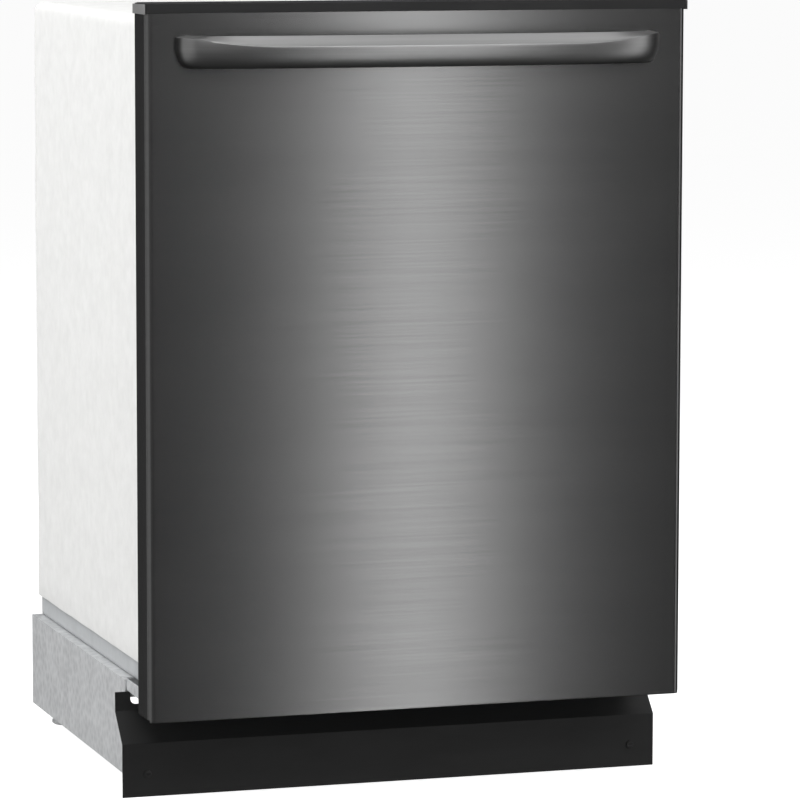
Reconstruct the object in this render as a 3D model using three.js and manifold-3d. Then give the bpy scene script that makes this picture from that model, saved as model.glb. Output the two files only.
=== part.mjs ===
// Built-in dishwasher, 24 inch class: drop-down door with an arched bar handle and controls along its
// top edge, two sliding racks in a tub, spray arms, sump and pumps, on a base frame with screw legs.
// Millimetres, +Z up, the door faces -Y. The origin is on the floor under the middle of the whole box.
import * as THREE from "three";
import { mergeVertices } from "three/addons/utils/BufferGeometryUtils.js";
import Module from "manifold-3d";

const wasm = await Module();
wasm.setup();

// ---- Driving dimensions. y runs back from the door's front face, and the assembly is shifted at the end.
const GAP = 0.3; // between two pieces that touch
const HEIGHT = 864; // floor to the top of the door's console
const DOOR_WIDTH = 603;
const DOOR_DEPTH = 60; // front face to the liner's back
const DOOR_BOTTOM = 101;
const PANEL_TOP = 853.7; // top of the steel panel, under the console
const PANEL_SHEET = 1.2;
const PANEL_CORNER = 7; // radius of the panel's two upright edges
const PANEL_SIDE = 46; // how far the steel panel, the console and its end caps turn back
const BACK = 575; // rear end of the base frame, behind the door's face
const HANDLE_REACH = 50; // how far the handle stands out of the door

const HINGE = { y: 45.3, z: 125, pin: 4, boss: 12 };
const ARM = { inner: 288.5, outer: 290.5 }; // the hinge arm's plate, across the machine
const BRACKET = { inner: 291.7, outer: 293.2 };
const LEVER = 18; // hinge axis to the balance lever's pin
const LEVER_PIN = { y: HINGE.y - LEVER * Math.SQRT1_2, z: HINGE.z - LEVER * Math.SQRT1_2, r: 3 };
const ROD_X = 284; // the balance spring's rod, either side

const TUB = { x: 280, front: 66, back: 568, floor: 131, ceiling: 838, wall: 4 };
const FLANGE = { x: 296, front: 62.5, bottom: 127.3, top: 850 };
const TRACK = { z: 139.7, inner: 240 }; // ledge that the lower rack's wheels roll on
const SUMP = { y: 200, r: 62 };
const HUB_Y = 330; // lower spray arm's axis
const UPPER_HUB_Y = 310;

const RAIL = { bottom: 510, top: 540, inner: 250, outer: 264, front: 90, back: 530 };
const WIRE = 4; // rack wire
const LOWER_RACK = { x: 238, front: 92, back: 532, base: 168, rim: 330, wheel: 16, wheelsY: [190, 470] };
const UPPER_RACK = { x: 234, front: 95, back: 515, base: 500, rim: 600, rollersY: [330, 480] };
const LEG = { x: 262, ys: [150, 540], foot: 18, thread: 5 };
const KEYS_X = [-190, -150, 150, 190];
const KEY = { width: 24, depth: 11, y: 30, top: 863.7, travel: 1.2 };

// ---- Materials.
const look = (color, roughness, metalness) => new THREE.MeshStandardMaterial({ color, roughness, metalness });
const BLACK_STEEL = look(0x55565a, 0.3, 1);
const BLACK_PLASTIC = look(0x1d1d1e, 0.45, 0);
const GREY_PLASTIC = look(0x8a8c8e, 0.5, 0);
const TUB_PLASTIC = look(0xa9acae, 0.5, 0);
const WHITE_FELT = look(0xe8e6e0, 1, 0);
const RUBBER = look(0x2a2a2b, 0.8, 0);
const GALVANISED = look(0xa5a8aa, 0.45, 1);
const PAINTED_BLACK = look(0x1b1b1c, 0.5, 0);
const CHROME = look(0xc8cacc, 0.2, 1);
const RACK_NYLON = look(0x9fa3a6, 0.55, 0);
const DARK_PLASTIC = look(0x3a3d40, 0.5, 0);

// ---- Solids.
// A closed geometry as a solid that can be joined and cut.
function solid(geometry) {
  const bare = geometry.index ? geometry.toNonIndexed() : geometry.clone();
  for (const name of Object.keys(bare.attributes)) {
    if (name !== "position") bare.deleteAttribute(name);
  }
  const merged = mergeVertices(bare, 1e-3);
  return new wasm.Manifold(
    new wasm.Mesh({
      numProp: 3,
      vertProperties: new Float32Array(merged.attributes.position.array),
      triVerts: new Uint32Array(merged.index.array),
    }),
  );
}

function geometryOf(body) {
  const mesh = body.getMesh();
  const geometry = new THREE.BufferGeometry();
  geometry.setAttribute("position", new THREE.BufferAttribute(mesh.vertProperties, 3));
  geometry.setIndex(new THREE.BufferAttribute(mesh.triVerts, 1));
  return geometry;
}

const join = (...bodies) => bodies.flat().reduce((a, b) => a.add(b));
const cut = (body, ...tools) => tools.flat().reduce((a, b) => a.subtract(b), body);
const range = (count) => Array.from({ length: count }, (_, i) => i);
const spaced = (from, to, count) => range(count).map((i) => from + ((to - from) * i) / (count - 1));

function block(x0, x1, y0, y1, z0, z1) {
  const box = new THREE.BoxGeometry(x1 - x0, y1 - y0, z1 - z0);
  return solid(box.translate((x0 + x1) / 2, (y0 + y1) / 2, (z0 + z1) / 2));
}

// Turns a geometry made along +Z so that it runs along another axis. A shape's (x, y) becomes (y, z) along
// x, and (x, z) along y.
function along(axis, geometry, from, to) {
  if (axis === "x") {
    geometry.applyMatrix4(new THREE.Matrix4().set(0, 0, 1, from, 1, 0, 0, 0, 0, 1, 0, 0, 0, 0, 0, 1));
  } else if (axis === "y") {
    geometry.applyMatrix4(new THREE.Matrix4().set(1, 0, 0, 0, 0, 0, -1, to, 0, 1, 0, 0, 0, 0, 0, 1));
  } else {
    geometry.translate(0, 0, from);
  }
  return geometry;
}

// A flat outline, given as [u, v] points or a THREE.Shape, pushed along an axis.
function prism(axis, from, to, outline, curveSegments = 8) {
  const shape = Array.isArray(outline)
    ? new THREE.Shape(outline.map(([u, v]) => new THREE.Vector2(u, v)))
    : outline;
  const made = new THREE.ExtrudeGeometry(shape, { depth: to - from, bevelEnabled: false, curveSegments });
  return solid(along(axis, made, from, to));
}

function rod(axis, from, to, u, v, radius, sides = 16) {
  const circle = range(sides).map((i) => {
    const t = (2 * Math.PI * i) / sides;
    return [u + radius * Math.cos(t), v + radius * Math.sin(t)];
  });
  return prism(axis, from, to, circle);
}

// A profile of [radius, z] points, counter-clockwise, turned about an upright axis.
function turned(profile, x, y, sides = 24) {
  const points = profile.map(([r, z]) => new THREE.Vector2(r, z));
  const first = points[0];
  const last = points[points.length - 1];
  if (first.x > 0 || last.x > 0) points.push(first.clone());
  const made = new THREE.LatheGeometry(points, sides);
  return solid(made.rotateX(Math.PI / 2).translate(x, y, 0));
}

// A round tube or bar along a smooth line of [x, y, z] points.
function swept(points, section, steps) {
  const path = new THREE.CatmullRomCurve3(points.map((p) => new THREE.Vector3(...p)), false, "centripetal");
  return solid(new THREE.ExtrudeGeometry(section, { steps, extrudePath: path, curveSegments: 4 }));
}

const mirrored = (body) => body.mirror([1, 0, 0]);

// A rectangle with rounded corners, centred on (u, v).
function roundedRect(u, v, width, height, r) {
  const w = width / 2 - r;
  const h = height / 2 - r;
  const shape = new THREE.Shape();
  shape.absarc(u + w, v + h, r, 0, Math.PI / 2);
  shape.absarc(u - w, v + h, r, Math.PI / 2, Math.PI);
  shape.absarc(u - w, v - h, r, Math.PI, 1.5 * Math.PI);
  shape.absarc(u + w, v - h, r, 1.5 * Math.PI, 2 * Math.PI);
  return shape;
}

// ---- Door.
// The panel's plan: a flat face whose two ends turn back round the upright corners.
function panelPlan(inset, back) {
  const half = DOOR_WIDTH / 2 - inset;
  const r = PANEL_CORNER - inset;
  const plan = new THREE.Shape();
  plan.moveTo(half, back);
  plan.lineTo(-half, back);
  plan.absarc(-half + r, inset + r, r, Math.PI, 1.5 * Math.PI);
  plan.absarc(half - r, inset + r, r, 1.5 * Math.PI, 2 * Math.PI);
  return plan;
}

function doorPanel() {
  const hem = 12; // how far the bottom flange turns back
  const relief = 3.3; // how much higher the sides end than the front
  const half = DOOR_WIDTH / 2;
  const side = half - PANEL_SHEET;
  const skin = prism("z", DOOR_BOTTOM, PANEL_TOP, panelPlan(0, PANEL_SIDE), 6);
  const inside = prism("z", DOOR_BOTTOM + PANEL_SHEET, HEIGHT, panelPlan(PANEL_SHEET, PANEL_SIDE + 1), 6);
  const below = block(-side, side, hem, PANEL_SIDE + 1, DOOR_BOTTOM - 1, DOOR_BOTTOM + 2);
  const notch = (x0, x1) => block(x0, x1, 1.8, PANEL_SIDE + 1, DOOR_BOTTOM - 1, DOOR_BOTTOM + relief);
  return cut(skin, inside, below, notch(-half - 1, -half + 2.4), notch(half - 2.4, half + 1));
}

function doorLiner() {
  const x = 296;
  const bottom = 133;
  const top = 828;
  const sheet = 3;
  const dish = { x: 243, bottom: 152, top: 790, floor: 42 };
  const flange = block(-x, x, DOOR_DEPTH - sheet, DOOR_DEPTH, bottom, top);
  const bowl = block(-dish.x - sheet, dish.x + sheet, dish.floor - sheet, DOOR_DEPTH, dish.bottom - sheet, dish.top + sheet);
  const hollow = block(-dish.x, dish.x, dish.floor, DOOR_DEPTH + 1, dish.bottom, dish.top);
  const wall = (x0, x1) => block(x0, x1, 20, DOOR_DEPTH - 1, 150, top);
  const corner = (x0, x1) => block(x0, x1, 10, DOOR_DEPTH + 1, bottom - 1, 142);
  const cup = block(-75, 75, 30, 50, 465, 590);
  const shell = join(flange, bowl, wall(-x, -x + 2.5), wall(x - 2.5, x));
  return cut(shell, hollow, corner(-x - 1, -284), corner(284, x + 1), cup);
}

// The plastic top of the door, with a sunken band for the keys and a window for the tub's strike.
function console_() {
  const x = DOOR_WIDTH / 2 - 0.3;
  const shell = { skin: 2.5, lip: 6, rear: 829 };
  const front = block(-x, x, -0.6, PANEL_SIDE, PANEL_TOP + GAP, HEIGHT);
  const back = block(-x + 5.5, x - 5.5, PANEL_SIDE - 1, DOOR_DEPTH - 0.4, PANEL_TOP + GAP, HEIGHT);
  const under = block(-x + 8, x - 8, PANEL_SHEET + 2, DOOR_DEPTH - 3, PANEL_TOP, HEIGHT - 4);
  const rear = block(-x + 5.5, x - 5.5, DOOR_DEPTH - 3, DOOR_DEPTH - 0.4, shell.rear, HEIGHT - 2);
  const band = block(-230, 230, KEY.y - 11, KEY.y + 11, HEIGHT - 1, HEIGHT + 1);
  const keyHoles = KEYS_X.map((kx) =>
    prism("z", HEIGHT - 8, HEIGHT + 1, roundedRect(kx, KEY.y, KEY.width + 1, KEY.depth + 1, 5.5), 4),
  );
  const strikeWindow = block(-14, 14, DOOR_DEPTH - 5, DOOR_DEPTH + 1, 834, 851);
  return cut(join(cut(join(front, back), under), rear), band, keyHoles, strikeWindow);
}

function consoleEndCap() {
  const x = DOOR_WIDTH / 2;
  const outline = [
    [0, PANEL_TOP - 0.7],
    [PANEL_SIDE, PANEL_TOP - 0.7],
    [PANEL_SIDE, HEIGHT - 1],
    [1, HEIGHT - 0.3],
    [0, HEIGHT - 1.5],
  ];
  return prism("x", x + GAP, x + 2.3, outline);
}

function key(x) {
  const cap = prism("z", KEY.top - 3, KEY.top, roundedRect(x, KEY.y, KEY.width, KEY.depth, 5), 4);
  const stem = block(x - 3, x + 3, KEY.y - 2, KEY.y + 2, KEY.top - 9, KEY.top - 2);
  return join(cap, stem);
}

// An arched bar: it leaves the door square, bows out along the width and comes back square.
function doorHandle() {
  const half = 263.5; // middle of the bar's end to the door's middle
  const bow = HANDLE_REACH - 8;
  const fullness = 2.6; // exponent of the arch: 2 is an ellipse, more is squarer
  const steps = 28;
  const z = 813.7;
  const line = range(steps + 1).map((i) => {
    const t = (Math.PI * i) / steps;
    const reach = (v) => Math.sign(v) * Math.abs(v) ** (2 / fullness);
    return [-half * reach(Math.cos(t)), -GAP - bow * Math.abs(reach(Math.sin(t))), z];
  });
  // The section, [outward, up]: a flat bevel from the top edge to a crease, and a rounded face below it.
  const outline = [
    [8.2, 6.6],
    [8, -1],
    [6.8, -8.4],
    [3.4, -14.8],
    [0, -17.1],
    [-4.4, -16.2],
    [-7.6, -9],
    [-8, 1],
    [-6.8, 11],
    [-4.6, 16],
    [-2.4, 17.1],
  ];
  const section = new THREE.Shape(outline.map(([out, up]) => new THREE.Vector2(-up, -out)));
  const bar = swept(line, section, 40);
  return cut(bar, block(-320, 320, -GAP, 40, 700, 864));
}

function hingeArm() {
  const strip = block(ARM.inner, ARM.outer, 38, 54, HINGE.z, 420);
  const eye = rod("x", ARM.inner, ARM.outer, HINGE.y, HINGE.z, HINGE.boss - 1, 20);
  const knee = rod("x", ARM.inner, ARM.outer, LEVER_PIN.y, LEVER_PIN.z, 5, 12);
  const lever = prism("x", ARM.inner, ARM.outer, [
    [HINGE.y - 9, HINGE.z + 4],
    [LEVER_PIN.y - 4, LEVER_PIN.z + 3],
    [LEVER_PIN.y + 3, LEVER_PIN.z - 4],
    [HINGE.y + 4, HINGE.z - 9],
  ]);
  const pin = rod("x", 281.5, ARM.inner + 1, LEVER_PIN.y, LEVER_PIN.z, LEVER_PIN.r, 12);
  return cut(join(strip, eye, knee, lever, pin), rod("x", 280, 300, HINGE.y, HINGE.z, HINGE.pin + GAP, 20));
}

function dispenser() {
  const body = block(-74, 74, 33, 56, 466, 589);
  const cup = block(-60, 0, 37, 57, 500, 560);
  const capSeat = rod("y", 50, 57, 40, 481, 9, 16);
  return cut(body, cup, capSeat);
}

function dispenserLid() {
  const plate = block(-66, 4, 56.4, 58.6, 494, 566);
  const ridge = block(-10, -6, 58.5, 59.6, 505, 555);
  return join(plate, ridge);
}

function rinseCap() {
  const stem = rod("y", 51, 57.5, 40, 481, 8.4, 16);
  const head = rod("y", 56.4, 58.4, 40, 481, 10.5, 20);
  const grip = block(31.5, 48.5, 58.2, 59.7, 479.8, 482.2);
  return join(stem, head, grip);
}

// The catch under the console: it gives way to the tub's strike and springs back.
function latchPawl() {
  const body = block(-6, 6, 24, 50, 836, 840);
  const nose = prism("x", -6, 6, [
    [44, 839],
    [50, 839],
    [50, 843],
    [47, 843],
  ]);
  const pivot = rod("x", -9, 9, 27, 838, 3, 12);
  return join(body, nose, pivot);
}

// ---- Tub and what is fixed to it.
function tub() {
  const { x, front, back, floor, ceiling, wall } = TUB;
  const shell = block(-x - wall, x + wall, front - 1, back + wall, floor - wall + GAP, ceiling + wall);
  const flange = block(-FLANGE.x, FLANGE.x, FLANGE.front, front, FLANGE.bottom, FLANGE.top);
  const mouth = block(-x + 4, x - 4, FLANGE.front - 1, front + 1, TRACK.z, ceiling - 2);
  const inside = block(-x, x, front, back, floor, ceiling);
  const ledge = (x0, x1) => block(x0, x1, front - 1, back + 1, floor - 1, TRACK.z);
  const drain = rod("z", floor - 10, floor + 10, 0, SUMP.y, SUMP.r + 1, 32);
  const open = cut(join(shell, flange), mouth, inside);
  return cut(join(open, ledge(-x - 1, -TRACK.inner), ledge(TRACK.inner, x + 1)), drain);
}

// Door seal: up both sides of the mouth and over its top.
function gasket() {
  const front = DOOR_DEPTH + GAP;
  const back = FLANGE.front - GAP;
  const outer = block(-285, 285, front, back, 143, 840);
  const inner = block(-278, 278, front - 1, back + 1, 142, 836.5);
  return cut(outer, inner);
}

function blanket() {
  const x = TUB.x + TUB.wall + GAP;
  const top = TUB.ceiling + TUB.wall + GAP;
  const thick = 7;
  const outer = block(-x - thick, x + thick, 70, 570, 150, top + thick);
  return cut(outer, block(-x, x, 69, 571, 149, top));
}

function feedTube() {
  const post = rod("z", TUB.floor + GAP, 148.5, 0, HUB_Y, 17, 20);
  const spigot = rod("z", 147, 166, 0, HUB_Y, 7, 16);
  const run = block(-12, 12, HUB_Y, 566, TUB.floor + GAP, 146);
  const riser = prism("z", TUB.floor + GAP, 500, roundedRect(0, 558, 30, 18, 6), 4);
  const dock = rod("y", 520, 556, 0, 489, 9, 16);
  return join(post, spigot, run, riser, dock);
}

function heater() {
  const z = TUB.floor + 6;
  const section = new THREE.Shape().absarc(0, 0, 3.2, 0, 2 * Math.PI);
  const half = [
    [-45, 535, TUB.floor + 3.6],
    [-70, 535, z],
    [-160, 532, z],
    [-192, 505, z],
    [-196, 440, z],
    [-196, 250, z],
    [-196, 140, z],
    [-184, 108, z],
    [-150, 98, z],
    [-60, 96, z],
  ];
  const other = half.map(([x, y, h]) => [-x, y, h]).reverse();
  return swept([...half, ...other], section, 42);
}

function floatCap() {
  const profile = [
    [0, 133],
    [23, 133],
    [24, 146],
    [20, 152],
    [0, 153],
  ];
  return turned(profile, 150, 160, 20);
}

function sump() {
  const top = TUB.floor - TUB.wall;
  const profile = [
    [0, 56],
    [50, 56],
    [56, 62],
    [56, top - 12],
    [84, top - 10],
    [84, top],
    [SUMP.r, top],
    [SUMP.r, TUB.floor - 1],
    [42, TUB.floor - 1],
    [42, TUB.floor - 4],
    [SUMP.r - 3, top - 3],
    [52, top - 12],
    [52, 64],
    [0, 60],
  ];
  const bowl = turned(profile, 0, SUMP.y, 20);
  return cut(bowl, rod("x", 40, 60, SUMP.y, 84, 13, 16), rod("x", -60, -40, SUMP.y, 78, 9, 12));
}

// Twist-out filter: a strainer cup with a bar grip on its rim.
function filterCup() {
  const profile = [
    [0, 72],
    [30, 72],
    [38, 84],
    [38, TUB.floor - 4.3],
    [41.4, TUB.floor - 4.3],
    [41.4, 133],
    [35, 133],
    [35, 86],
    [28, 76],
    [0, 76],
  ];
  const grip = join(block(-36, 36, SUMP.y - 2, SUMP.y + 2, 122, 141), rod("z", 122, 143, 0, SUMP.y, 7, 12));
  return join(turned(profile, 0, SUMP.y, 24), grip);
}

function washPump() {
  const volute = rod("x", 72, 96, SUMP.y, 84, 30, 24);
  const motor = rod("x", 96, 190, SUMP.y, 78, 36, 24);
  const inlet = rod("x", 56.6, 73, SUMP.y, 84, 12, 16);
  const outlet = rod("z", 84, 114, 84, SUMP.y + 30, 9, 12);
  const neck = block(76, 92, SUMP.y, SUMP.y + 30, 76, 92);
  return join(volute, motor, inlet, outlet, neck);
}

function drainPump() {
  const body = rod("x", -118, -72, SUMP.y, 78, 22, 20);
  const motor = rod("x", -160, -118, SUMP.y, 78, 17, 16);
  const inlet = rod("x", -73, -56.6, SUMP.y, 78, 8.4, 12);
  const outlet = rod("y", SUMP.y + 10, 300, -95, 88, 8, 12);
  return join(body, motor, inlet, outlet);
}

function inletValve() {
  const body = block(-215, -175, 130, 172, 62, 96);
  const port = rod("z", 34, 63, -195, 151, 10, 16);
  const coil = rod("z", 95, 118, -195, 151, 13, 16);
  const spout = rod("x", -176, -150, 151, 80, 6, 12);
  return join(body, port, coil, spout);
}

function latchStrike() {
  const tongue = block(-7, 7, 46, 62, 844, 847);
  const plate = block(-12, 12, 60.6, FLANGE.front - GAP, 841, 849);
  return cut(join(tongue, plate), block(-4, 4, 49, 55, 843, 848));
}

// Angle that is screwed up into the worktop.
function mountingBracket() {
  const leg = block(140, 170, TUB.front + GAP, TUB.front + 2, 843, 862);
  const shelf = block(140, 170, TUB.front + GAP, 96, 860.4, 862);
  return cut(join(leg, shelf), rod("z", 858, 864, 155, 84, 2.6, 12));
}

// ---- Base.
function baseFrame() {
  const front = 110;
  const low = 20;
  const high = 126;
  const side = join(
    prism("x", 293.5, 295.5, [
      [front, low],
      [BACK, low],
      [BACK, high],
      [129, high],
      [129, 74],
      [front, 60],
    ]),
    block(246, 295.5, front, BACK, low, low + 2),
    block(262, 295.5, 142, BACK, high - 2, high),
    cut(block(270, 294, 330, 333, 90, high), rod("y", 320, 340, ROD_X, LEVER_PIN.z, 5, 12)),
    LEG.ys.map((y) => rod("z", low, 40, LEG.x, y, 11, 6)),
  );
  const threads = [LEG.x, -LEG.x].flatMap((x) => LEG.ys.map((y) => rod("z", 10, 60, x, y, LEG.thread + GAP, 12)));
  const cross = [
    block(-294, 294, front, front + 2, low, 62),
    block(-294, 294, BACK - 2, BACK, low, high - 30),
  ];
  return cut(join(side, mirrored(side), cross), threads);
}

function levelingLeg(x, y) {
  const profile = [
    [0, 0],
    [LEG.foot, 0],
    [LEG.foot, 5],
    [LEG.foot - 6, 11],
    [LEG.thread, 12],
    [LEG.thread, 58],
    [LEG.thread - 1, 59],
    [0, 59],
  ];
  return turned(profile, x, y, 16);
}

// Folded sheet: an upright face, a slope back under the door, and an upright top edge notched at the hinges.
function kickPlate() {
  const half = 307;
  const sheet = 1.5;
  const face = { y: 95, bottom: 2, bend: 61 };
  const back = { y: 126, bend: 92, top: 113 };
  const plan = [
    [face.y, face.bottom],
    [face.y + sheet, face.bottom],
    [face.y + sheet, face.bend - 0.6],
    [back.y + sheet, back.bend - 0.6],
    [back.y + sheet, back.top],
    [back.y, back.top],
    [back.y, back.bend],
    [face.y, face.bend],
  ];
  const sheetMetal = prism("x", -half, half, plan);
  const notch = (x) => prism("y", 120, 135, roundedRect(x, back.top, 39, 28, 6), 4);
  const screwHole = (x) => rod("y", 90, 100, x, 27, 2.4, 12);
  return cut(sheetMetal, notch(-270.5), notch(270.5), screwHole(-279), screwHole(279));
}

function kickScrew(x) {
  const head = rod("y", 93.2, 94.7, x, 27, 4.2, 16);
  const shank = rod("y", 94.5, 109.5, x, 27, 2, 10);
  const slot = block(x - 3, x + 3, 93, 93.9, 26.5, 27.5);
  return cut(join(head, shank), slot);
}

// Fixed side plate with the door's pivot pin.
function hingeBracket() {
  const plate = prism("x", BRACKET.inner, BRACKET.outer, [
    [HINGE.y, HINGE.z - HINGE.boss],
    [140, 114.5],
    [140, 126.5],
    [60, 126.5],
    [HINGE.y, HINGE.z + HINGE.boss],
  ]);
  const nose = rod("x", BRACKET.inner, BRACKET.outer, HINGE.y, HINGE.z, HINGE.boss, 20);
  const pin = rod("x", 286.5, BRACKET.inner + 0.5, HINGE.y, HINGE.z, HINGE.pin, 20);
  return join(plate, nose, pin);
}

// The lever's pin rides in this rod's upright slot and pushes the rod back against the spring.
function springRod() {
  const yoke = prism("x", 282, 286, roundedRect(LEVER_PIN.y, LEVER_PIN.z - 2, 18, 24, 4), 3);
  const slot = prism("x", 280, 290, roundedRect(LEVER_PIN.y, LEVER_PIN.z - 2.4, 9, 15, 4.4), 3);
  const shaft = rod("y", LEVER_PIN.y + 8, 380, ROD_X, LEVER_PIN.z, 3.5, 12);
  const collar = rod("y", 150, 153, ROD_X, LEVER_PIN.z, 8.5, 16);
  return join(cut(yoke, slot), shaft, collar);
}

function doorSpring() {
  const coil = rod("y", 153.4, 329.6, ROD_X, LEVER_PIN.z, 8, 16);
  return cut(coil, rod("y", 150, 335, ROD_X, LEVER_PIN.z, 5, 16));
}

// ---- Racks.
// A lattice of square wires lying in one plane, with wires at each of us and each of vs.
function lattice(axis, at, w, us, vs) {
  const rectangle = (u0, u1, v0, v1) => [
    [u0, v0],
    [u1, v0],
    [u1, v1],
    [u0, v1],
  ];
  const last = (list) => list[list.length - 1];
  const sheet = prism(axis, at - w, at + w, rectangle(us[0] - w, last(us) + w, vs[0] - w, last(vs) + w));
  const cells = range(us.length - 1).flatMap((i) =>
    range(vs.length - 1).map((j) =>
      prism(axis, at - 9, at + 9, rectangle(us[i] + w, us[i + 1] - w, vs[j] + w, vs[j + 1] - w)),
    ),
  );
  return cut(sheet, cells);
}

// Floor and four walls of lattice. The walls' wires are a little thinner than the floor's.
function wireBasket({ x, front, back, base, rim }, wiresX, wiresY) {
  const xs = spaced(-x, x, wiresX);
  const ys = spaced(front, back, wiresY);
  return join(
    lattice("z", base, WIRE / 2, xs, ys),
    [front, back].map((y) => lattice("y", y, WIRE / 2 - 0.4, xs, [base, rim])),
    [-x, x].map((side) => lattice("x", side, WIRE / 2 - 0.5, ys, [base, rim])),
  );
}

const TINE = WIRE / 2 - 0.2;
const tineRow = (x, ys, base, height) =>
  ys.map((y) => block(x - TINE, x + TINE, y - TINE, y + TINE, base, base + height));

function lowerRack() {
  const { x, front, back, base, wheelsY, wheel } = LOWER_RACK;
  const basket = wireBasket(LOWER_RACK, 5, 6);
  const ys = spaced(front, back, 6).slice(1, -1);
  const axleZ = TRACK.z + GAP + wheel;
  const axle = (y) =>
    join(rod("x", x - 1, 257, y, axleZ, 3, 12), block(x - TINE, x + TINE, y - 7, y + 7, axleZ - 6, base));
  const axles = wheelsY.flatMap((y) => [axle(y), mirrored(axle(y))]);
  return join(basket, tineRow(-119, ys, base, 95), axles);
}

function rackWheel(side, y) {
  const z = TRACK.z + GAP + LOWER_RACK.wheel;
  const disc = rod("x", 246, 254, y, z, LOWER_RACK.wheel, 20);
  const wheel = cut(disc, rod("x", 240, 260, y, z, 3.4, 12));
  return side < 0 ? mirrored(wheel) : wheel;
}

function foldingTines() {
  const ys = spaced(LOWER_RACK.front, LOWER_RACK.back, 6).slice(1, -1);
  const z = LOWER_RACK.base + WIRE / 2 + GAP + 2.4;
  const pivot = rod("y", 118, 506, -59.5, z, 2.4, 8);
  return join(pivot, tineRow(-59.5, ys.map((y) => y + 8), z, 95));
}

function silverwareBasket() {
  const body = block(146, 230, 112, 412, 170.3, 292);
  const cells = [0, 1].flatMap((column) =>
    range(4).map((row) => {
      const x = 148.5 + column * 40.5;
      const y = 114.5 + row * 74.4;
      return block(x, x + 38, y, y + 71.8, 177, 300);
    }),
  );
  const grip = cut(block(186, 190, 212, 312, 290, 330), block(180, 196, 224, 300, 296, 320));
  return join(cut(body, cells), grip);
}

function sprayArm(y, z, radius, thick) {
  const blade = new THREE.Shape();
  blade.absarc(0, y, 26, -0.9, 0.9);
  blade.absarc(0, y + radius - 16, 16, 0.3, Math.PI - 0.3);
  blade.absarc(0, y, 26, Math.PI - 0.9, Math.PI + 0.9);
  blade.absarc(0, y - radius + 16, 16, Math.PI + 0.3, 2 * Math.PI - 0.3);
  return prism("z", z, z + thick, blade, 5);
}

function lowerSprayArm() {
  const arm = sprayArm(HUB_Y, 150, 195, 10);
  const hub = rod("z", 149, 164, 0, HUB_Y, 20, 20);
  return cut(join(arm, hub), rod("z", 140, 170, 0, HUB_Y, 7.6, 16));
}

function upperRack() {
  const { x, front, back, base, rollersY } = UPPER_RACK;
  const basket = wireBasket(UPPER_RACK, 5, 6);
  const ys = spaced(front, back, 6).slice(1, -1);
  const roller = (y) => join(rod("x", x - 1, 254, y, 525, 3, 12), rod("x", 252, 260, y, 525, 11.5, 16));
  const strap = block(x - TINE, x + TINE, rollersY[0] - 12, rollersY[1] + 12, 518, 532);
  const side = join(rollersY.map(roller), strap);
  return join(basket, tineRow(58.5, ys, base, 60), side, mirrored(side));
}

function upperRail() {
  const outer = block(RAIL.inner, RAIL.outer, RAIL.front, RAIL.back, RAIL.bottom, RAIL.top);
  const inner = block(RAIL.inner - 1, RAIL.outer - 2, RAIL.front - 1, RAIL.back + 1, RAIL.bottom + 2, RAIL.top - 2);
  return cut(outer, inner);
}

// Plate on the tub's wall with four rollers that hold the rail between them.
function railCarrier() {
  const plate = block(275.5, TUB.x - GAP, 108, 272, 488, 562);
  const r = 9;
  const rollers = [130, 250].flatMap((y) => [
    rod("x", 252, 277, y, RAIL.bottom - GAP - r, r, 16),
    rod("x", 252, 277, y, RAIL.top + GAP + r, r, 16),
  ]);
  return join(plate, rollers);
}

function upperFeedPipe() {
  const pipe = rod("y", UPPER_HUB_Y, 518, 0, 489, 8, 16);
  const post = rod("z", 482, 496, 0, UPPER_HUB_Y, 14, 20);
  const spigot = rod("z", 464, 484, 0, UPPER_HUB_Y, 6, 16);
  const bolt = block(-4, 4, UPPER_HUB_Y - 4, UPPER_HUB_Y + 4, 494, 497.5);
  return join(pipe, post, spigot, bolt);
}

function upperSprayArm() {
  const arm = sprayArm(UPPER_HUB_Y, 468, 188, 9);
  const hub = rod("z", 466, 480, 0, UPPER_HUB_Y, 18, 20);
  return cut(join(arm, hub), rod("z", 460, 485, 0, UPPER_HUB_Y, 6.6, 16));
}

// A shelf of bars for cups, hinged along the rack's left wall.
function cupShelf() {
  const z = 584;
  const pivot = rod("y", 128, 482, -226, z, 3, 8);
  const bars = spaced(150, 460, 8).map((y) => block(-226, -128, y - 1.6, y + 1.6, z - 1.6, z + 1.6));
  const edge = block(-131, -127, 148.4, 461.6, z - 2, z + 2);
  return join(pivot, bars, edge);
}

// ---- Assembly.
const assembly = new THREE.Group();
assembly.position.y = -(BACK - HANDLE_REACH - GAP) / 2;

function place(name, body, material) {
  const mesh = new THREE.Mesh(geometryOf(body), material);
  mesh.name = name;
  assembly.add(mesh);
}

function placePair(name, body, material) {
  place(name + "_right", body, material);
  place(name + "_left", mirrored(body), material);
}

place("door_panel", doorPanel(), BLACK_STEEL);
place("door_liner", doorLiner(), GREY_PLASTIC);
place("console", console_(), BLACK_PLASTIC);
placePair("console_end_cap", consoleEndCap(), GREY_PLASTIC);
place("door_handle", doorHandle(), BLACK_STEEL);
placePair("hinge_arm", hingeArm(), GALVANISED);
place("detergent_dispenser", dispenser(), DARK_PLASTIC);
place("dispenser_lid", dispenserLid(), GREY_PLASTIC);
place("rinse_aid_cap", rinseCap(), BLACK_PLASTIC);
place("latch_pawl", latchPawl(), DARK_PLASTIC);
KEYS_X.forEach((x, i) => place("key_" + (i + 1), key(x), DARK_PLASTIC));

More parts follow.
